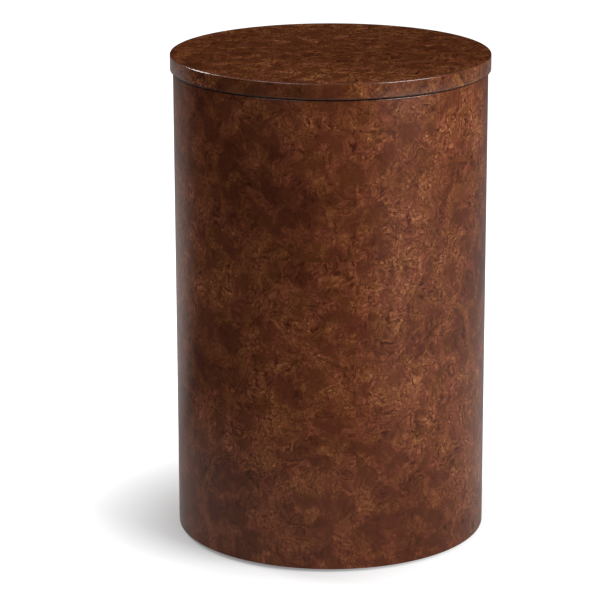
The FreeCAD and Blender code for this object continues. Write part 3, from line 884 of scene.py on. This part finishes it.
drive_screws("base_wood_screws", "base_screws", SUNK_HEAD, head_up=False)
drive_screws("former_wood_screws", "former_screws", SUNK_HEAD, head_up=True)
drive_screws("lid_wood_screws", "lid_screws", PAN_HEAD, head_up=False)

# %% [markdown]
# ## Dowels
# Two beech dowels place the top on the upper ring. A glued dowel is fluted, so that air and spare glue
# can get out of the hole, and its ends are chamfered, so that it starts easily. Straight flutes are
# ripples of the radius round the axis, and a chamfer is a limit on the radius near each end.

# %% Flute the dowels
DOWELS = 2
FLUTES, FLUTE_DEPTH = 16, 0.35 * MM
DOWEL_COLUMNS = FLUTES * 6
CHAMFER = 1.0 * MM
beech = plain_wood("dowel_beech", "Z", rgb(212, 174, 130), rgb(188, 148, 104), gloss=0.2, roughness=0.7)


def fluted_dowel(radius, low, high):
    """Radius r - depth (1/2 - 1/2 cos of the flutes times the angle), within the chamfered profile."""
    angles = full_turn(DOWEL_COLUMNS)
    limit = np.array([0, radius - CHAMFER, radius, radius, radius - CHAMFER, 0])[:, None]
    height = np.array([low, low, low + CHAMFER, high - CHAMFER, high, high])[:, None]
    fluted = radius - FLUTE_DEPTH * (0.5 - 0.5 * np.cos(FLUTES * angles))
    return round_axis(np.minimum(limit, fluted), height, angles)


dowel_axes, dowel_low, dowel_high = axes_of("lid_dowels", DOWELS)
dowel_radius = (reach_of("lid_dowels")[1] - reach_of("lid_dowels")[0]) / 2
dowels = at_axes(fluted_dowel(dowel_radius, dowel_low, dowel_high), dowel_axes)
dress(surface_mesh("fluted_dowels", dowels), "table", "dowel_beech", beech, "lid_dowels")
print("dowels:", DOWELS, "of radius", round(dowel_radius / MM, 2), "mm")

# %% [markdown]
# ## Threaded inserts
# Fibreboard is too soft for a machine thread, so each glide screws into a zinc insert driven into the
# base: a barrel with a coarse outer thread that bites the board, a flange that stops it, and a bore for
# the stem. The profile runs out along the flange, up the barrel and back down the bore, and closes on
# itself.

# %% Cast the inserts
INSERTS = 4
INSERT_COLUMNS = 48
INSERT_PITCH, INSERT_RIDGE = 3.0 * MM, 0.9 * MM
FLANGE, FLANGE_EASE = 1.3 * MM, 0.25 * MM
BARREL, BORE, BORE_CHAMFER = 6.0 * MM, 4.0 * MM, 0.4 * MM


def threaded_insert(flange_radius, low, high):
    """A closed (radius, height) profile whose barrel swells by ridge times thread^2, with plain ends."""
    angles = full_turn(INSERT_COLUMNS)
    seat = low + FLANGE
    flange = np.array([
        (BORE, low + BORE_CHAMFER), (BORE + BORE_CHAMFER, low), (flange_radius - FLANGE_EASE, low),
        (flange_radius, low + FLANGE_EASE), (flange_radius, seat), (BARREL - INSERT_RIDGE, seat)])
    height = np.arange(seat, high, INSERT_PITCH / THREAD_ROWS)[:, None]
    plain_end = np.minimum(height - seat, high - height) / (INSERT_PITCH / 2)
    ridge = INSERT_RIDGE * thread(height, angles, INSERT_PITCH) ** 2 * np.clip(plain_end, 0, 1)
    head = np.array([
        (BARREL - INSERT_RIDGE, high), (BORE + BORE_CHAMFER, high), (BORE, high - BORE_CHAMFER),
        (BORE, low + BORE_CHAMFER)])
    return np.concatenate([
        round_axis(flange[:, :1], flange[:, 1:], angles),
        round_axis(BARREL - INSERT_RIDGE + ridge, height, angles),
        round_axis(head[:, :1], head[:, 1:], angles),
    ])


insert_axes, insert_low, insert_high = axes_of("insert_nuts", INSERTS)
flange_radius = reach_of("insert_nuts")[1] - np.hypot(*insert_axes[0, :2])
inserts = at_axes(threaded_insert(flange_radius, insert_low, insert_high), insert_axes)
dress(surface_mesh("cast_inserts", inserts), "table", "zinc_insert", insert_zinc, "insert_nuts")
print("inserts:", INSERTS, "with flange radius", round(flange_radius / MM, 2), "mm")

# %% [markdown]
# ## Levelling glides
# The table stands on four glides. A stem with an M8 thread screws in and out of its insert, a hexagon
# collar takes the spanner, and a button at its foot is captured in a nylon pad, so the pad goes up and
# down with the stem but need not turn on the floor. The stem is one turned surface whose radius is a
# circle, a hexagon or a thread, depending on the height. It rides on the turning body and the pad on the
# sliding one, so both follow the joints.

# %% Turn the stems
STEM_COLUMNS = 48
M8_PITCH, M8_DEPTH = 1.25 * MM, 0.62 * MM
STEM_ROWS = 12
ROUND, HEXAGON = 0, 1
COLLAR_EASE = 0.4 * MM
TIP_CHAMFER = 1.0 * MM
BUTTON, BUTTON_EASE, BUTTON_HIGH = 6.5 * MM, 0.3 * MM, 2.0 * MM
NECK, COLLAR_LOW, COLLAR_HIGH = 3.95 * MM, 3.4 * MM, 6.2 * MM


def hexagon(corner, angles):
    """Distance to a hexagon's side: half the width across flats over the cosine from the side's middle."""
    return corner * np.cos(np.pi / 6) / np.cos(np.mod(angles, np.pi / 3) - np.pi / 6)


def levelling_stem(corner, first_corner, length):
    """A stem from its button's underside at height 0 to its tip, with a hexagon corner at first_corner."""
    angles = full_turn(STEM_COLUMNS)
    flat = corner * np.cos(np.pi / 6)
    rows = np.array([
        (0, 0, ROUND), (BUTTON - BUTTON_EASE, 0, ROUND), (BUTTON, BUTTON_EASE, ROUND),
        (BUTTON, BUTTON_HIGH - BUTTON_EASE, ROUND), (BUTTON - BUTTON_EASE, BUTTON_HIGH, ROUND),
        (NECK, BUTTON_HIGH, ROUND), (NECK, COLLAR_LOW, ROUND), (flat, COLLAR_LOW, HEXAGON),
        (corner, COLLAR_LOW + COLLAR_EASE, HEXAGON), (corner, COLLAR_HIGH - COLLAR_EASE, HEXAGON),
        (flat, COLLAR_HIGH, HEXAGON), (NECK - M8_DEPTH, COLLAR_HIGH, ROUND)])
    limit, level, kind = rows[:, :1], rows[:, 1:2], rows[:, 2:]
    foot = np.where(kind == HEXAGON, np.minimum(limit, hexagon(corner, angles)), limit)
    height = np.arange(COLLAR_HIGH, length, M8_PITCH / STEM_ROWS)[:, None]
    begun = np.clip((height - COLLAR_HIGH) / M8_PITCH, 0, 1)
    ridge = NECK - M8_DEPTH * (1 - begun * thread(height, angles + first_corner, M8_PITCH))
    radius = np.minimum(ridge, NECK - TIP_CHAMFER + np.maximum(length - height, 0))
    tip = np.array([[NECK - TIP_CHAMFER - M8_DEPTH], [0]])
    return np.concatenate([
        round_axis(foot, level, angles + first_corner),
        round_axis(radius, height, angles + first_corner),
        round_axis(tip, length, angles + first_corner),
    ])


GLIDES = range(1, 5)
for number in GLIDES:
    axis, low, high = axes_of(f"glide_stem_{number}", 1)
    reach = points_of(f"glide_stem_{number}") - axis
    corner = np.hypot(reach[:, 0], reach[:, 1]).max()
    stem = levelling_stem(corner, np.arctan2(axis[0, 1], axis[0, 0]), high - low)
    mesh = surface_mesh(f"levelling_stem_{number}", at_axes(stem + (0, 0, low), axis))
    dress(mesh, f"stem_{number}", "stem_steel", stem_steel, f"glide_stem_{number}")
across_flats = 2 * corner * np.cos(np.pi / 6)
print("stems:", len(GLIDES), "with hexagons", round(across_flats / MM, 2), "mm across flats")

# %% Mould the pads
PAD_COLUMNS = 72
PAD_EASE = 0.9 * MM
LIP_EASE = 0.2 * MM
POCKET, POCKET_FLOOR, POCKET_ROOF = 6.9 * MM, 1.55 * MM, 3.8 * MM
MOUTH = 4.35 * MM


def swivel_pad(radius, high):
    """A profile from the sole's middle, round the rim, through the mouth and along the pocket's floor."""
    corners = [(0, 0), (radius, 0), (radius, high), (MOUTH, high), (MOUTH, POCKET_ROOF),
               (POCKET, POCKET_ROOF), (POCKET, POCKET_FLOOR), (0, POCKET_FLOOR)]
    profile = eased(corners, [0, PAD_EASE, PAD_EASE, LIP_EASE, LIP_EASE, 0, 0, 0])[:-1]
    return round_axis(profile[:, :1], profile[:, 1:], full_turn(PAD_COLUMNS))


for number in GLIDES:
    axis, low, high = axes_of(f"glide_pad_{number}", 1)
    pad_radius = np.ptp(points_of(f"glide_pad_{number}")[:, 0]) / 2
    pad = at_axes(swivel_pad(pad_radius, high - low) + (0, 0, low), axis)
    mesh = surface_mesh(f"swivel_pad_{number}", pad)
    dress(mesh, f"pad_{number}", "pad_nylon", pad_nylon, f"glide_pad_{number}")
print("pads:", len(GLIDES), "each", round(2 * pad_radius / MM, 1), "mm across")

# %% [markdown]
# ## Floor, light and camera
# The table stands on a plain white sweep. A large soft light at the right shapes the drum, a weaker one
# at the front left keeps its dark side readable, and a small one high behind at the left draws a bright
# line along the top's arris. A faint dome overhead fills the rest, and the room in front is dim. The
# sweep behind the table is what the lacquer mirrors at the drum's edges, where one looks along it. A
# patch of it behind at the left glows with no lamp over it: painted light, which the drum's left edge
# mirrors as a painted reflection. Seen directly, the floor near the table has painted shade added to
# the real shadow. A last light under the floor shows the base and the glides to anyone who looks from
# below. The camera stands where the photograph was taken from, a little above the top, with a long lens.

# %% Floor
FLOOR_RADIUS = 8.0
FLOOR_STEPS = 96
# Seen directly, the lift is weaker near the table, which adds painted shade round its foot.
NEAR_LIFT, FAR_LIFT = 0.30, 1.0
LIFT_REACH = 178 * MM
WHITE_PAPER, DIM_FLOOR = (0.64, 0.64, 0.64, 1.0), (0.08, 0.08, 0.08, 1.0)
# Painted light: the paper behind at the left glows with no lamp over it, for a painted reflection in the
# drum's left edge.
PAINTED_POOL_GLOW, PAINTED_POOL_LEFT = 0.12, -0.3
# Painted shadow at the left of the table and painted light at its right, near the table only.
PAINTED_LEFT_SHADE, PAINTED_RIGHT_LIGHT = 0.17, 0.30
PAPER_EDGE, PAPER_END = 190 * MM, 450 * MM
SWEEP_START, SWEEP_END = 0.35, 0.65


def make_floor():
    """White paper round the table, behind it and at its right, dim floor further off, open from below.

    Seen directly, the floor is lifted to white away from the table. Near the table the lift is
    weaker, which keeps the real shadow and adds painted shade round the foot: more at the left, a
    painted shadow, and less at the right, where painted light brightens the real shadow. A patch of
    paper behind at the left glows with no lamp over it, painted light that the drum's left edge
    mirrors as a painted reflection. Light from under the floor passes through it.
    """
    material, recipe, shader = new_material("white_floor", specular_ior_level=0.0, roughness=1.0)
    material.cycles.emission_sampling = "NONE"
    path = recipe.node("LightPath", {}).outputs
    spot = recipe.object_place()
    away = recipe.length(spot)
    axis = recipe.axes(spot)
    beside = recipe.maths("DIVIDE", recipe.maths("MAXIMUM", axis["X"], axis["Y"]), away)
    near = recipe.fade(away, drum_outer + PAPER_END, drum_outer + PAPER_EDGE)
    paper = recipe.maths("MAXIMUM", near, recipe.fade(beside, SWEEP_START, SWEEP_END))
    recipe.feed(shader["Base Color"], recipe.mix(paper, DIM_FLOOR, WHITE_PAPER))
    behind = recipe.maths("SUBTRACT", paper, near)
    # A glowing patch of paper with no lamp over it: painted light.
    painted_pool = recipe.maths("MULTIPLY", recipe.fade(axis["X"], 0.0, PAINTED_POOL_LEFT), behind)
    seen = recipe.maths("MAXIMUM", path["Is Camera Ray"], path["Is Transmission Ray"])
    # Painted shade at the left and painted light at the right, which fade out as the lift rises.
    rightwards = recipe.maths("DIVIDE", axis["X"], away)
    painted_sides = recipe.maths("MAXIMUM", recipe.maths("MULTIPLY", rightwards, PAINTED_LEFT_SHADE),
                        recipe.maths("MULTIPLY", rightwards, PAINTED_RIGHT_LIGHT))
    rise = {"Value": away, "From Min": drum_outer, "From Max": drum_outer + LIFT_REACH,
            "To Min": recipe.maths("ADD", painted_sides, NEAR_LIFT), "To Max": FAR_LIFT}
    lifted = recipe.maths("MULTIPLY", seen, recipe.node("MapRange", rise).outputs["Result"])
    glow = recipe.maths("MULTIPLY_ADD", painted_pool, PAINTED_POOL_GLOW, lifted)
    lift = recipe.node("Emission", {"Strength": glow})
    tree = material.node_tree
    lit = recipe.node("AddShader", {0: tree.nodes["Principled BSDF"].outputs[0], 1: lift.outputs[0]})
    clear = recipe.node("BsdfTransparent", {})
    from_below = recipe.node("NewGeometry", {}).outputs["Backfacing"]
    passes = recipe.maths("MAXIMUM", from_below, path["Is Shadow Ray"])
    sheet = recipe.node("MixShader", {0: passes, 1: lit.outputs[0], 2: clear.outputs[0]})
    recipe.feed(tree.nodes["Material Output"].inputs["Surface"], sheet.outputs[0])
    radius = np.array([FLOOR_RADIUS, 0.0])
    mesh = surface_mesh("floor", round_axis(radius[:, None], 0.0, full_turn(FLOOR_STEPS)))
    mesh.materials.append(material)
    floor = bpy.data.objects.new("floor", mesh)
    bpy.context.scene.collection.objects.link(floor)
    print("floor faces up:", mesh.polygons[0].normal.z > 0)


make_floor()

# %% Room
DOME_GLOW = 0.16
DOME_FOOT, DOME_FULL = 0.3, 0.6


def make_room():
    """White to the camera. For the table it is a dome of light overhead that ends above the horizon."""
    world = bpy.data.worlds.new("studio")
    bpy.context.scene.world = world
    world.use_nodes = True
    world.cycles.sampling_method = "NONE"
    recipe = Recipe(world.node_tree)
    path = recipe.node("LightPath", {}).outputs
    up = recipe.axes(recipe.node("TexCoord", {}).outputs["Generated"])["Z"]
    dome = recipe.maths("MULTIPLY", recipe.fade(up, DOME_FOOT, DOME_FULL), DOME_GLOW)
    seen = recipe.maths("MAXIMUM", path["Is Camera Ray"], path["Is Transmission Ray"])
    recipe.feed(world.node_tree.nodes["Background"].inputs["Strength"], recipe.maths("MAXIMUM", seen, dome))
    world.node_tree.nodes["Background"].inputs["Color"].default_value = (1, 1, 1, 1)


make_room()
print("dome strength", DOME_GLOW)

# %% Lights


def softbox(name, azimuth, elevation, distance, size, power):
    """A square light that faces the table's middle. Azimuth counts from the front, towards the right."""
    turn, rise = np.radians(azimuth), np.radians(elevation)
    heading = np.array([np.sin(turn) * np.cos(rise), -np.cos(turn) * np.cos(rise), np.sin(rise)])
    middle = np.array([0, 0, lid_top / 2])
    light = bpy.data.lights.new(name, "AREA")
    light.shape = "SQUARE"
    light.size = size
    light.energy = power
    lamp = bpy.data.objects.new(name, light)
    lamp.location = middle + heading * distance
    lamp.rotation_euler = (np.pi / 2 - rise, 0, turn)
    bpy.context.scene.collection.objects.link(lamp)
    print(name, power, "W from", azimuth, "degrees")


softbox("key_light", azimuth=56, elevation=25, distance=1.9, size=1.2, power=38)
softbox("fill_light", azimuth=-38, elevation=34, distance=3.2, size=2.0, power=35)
softbox("side_light", azimuth=-118, elevation=40, distance=1.8, size=0.5, power=13)
softbox("under_light", azimuth=0, elevation=-90, distance=1.5, size=0.6, power=8)

# %% Camera
CAMERA_PLACE = (0.0, -2.8897, 1.0612)
CAMERA_DIP = np.radians(15.804)
CAMERA_LENS = 171.38
CAMERA_SHIFT = -0.051

camera = bpy.data.cameras.new("camera")
camera.lens = CAMERA_LENS
camera.shift_x = CAMERA_SHIFT
viewpoint = bpy.data.objects.new("camera", camera)
viewpoint.location = CAMERA_PLACE
viewpoint.rotation_euler = (np.pi / 2 - CAMERA_DIP, 0, 0)
bpy.context.scene.collection.objects.link(viewpoint)
bpy.context.scene.camera = viewpoint
bpy.context.scene.view_settings.view_transform = "Standard"
print("camera:", CAMERA_LENS, "mm lens,", round(float(np.degrees(CAMERA_DIP)), 1), "degrees down")
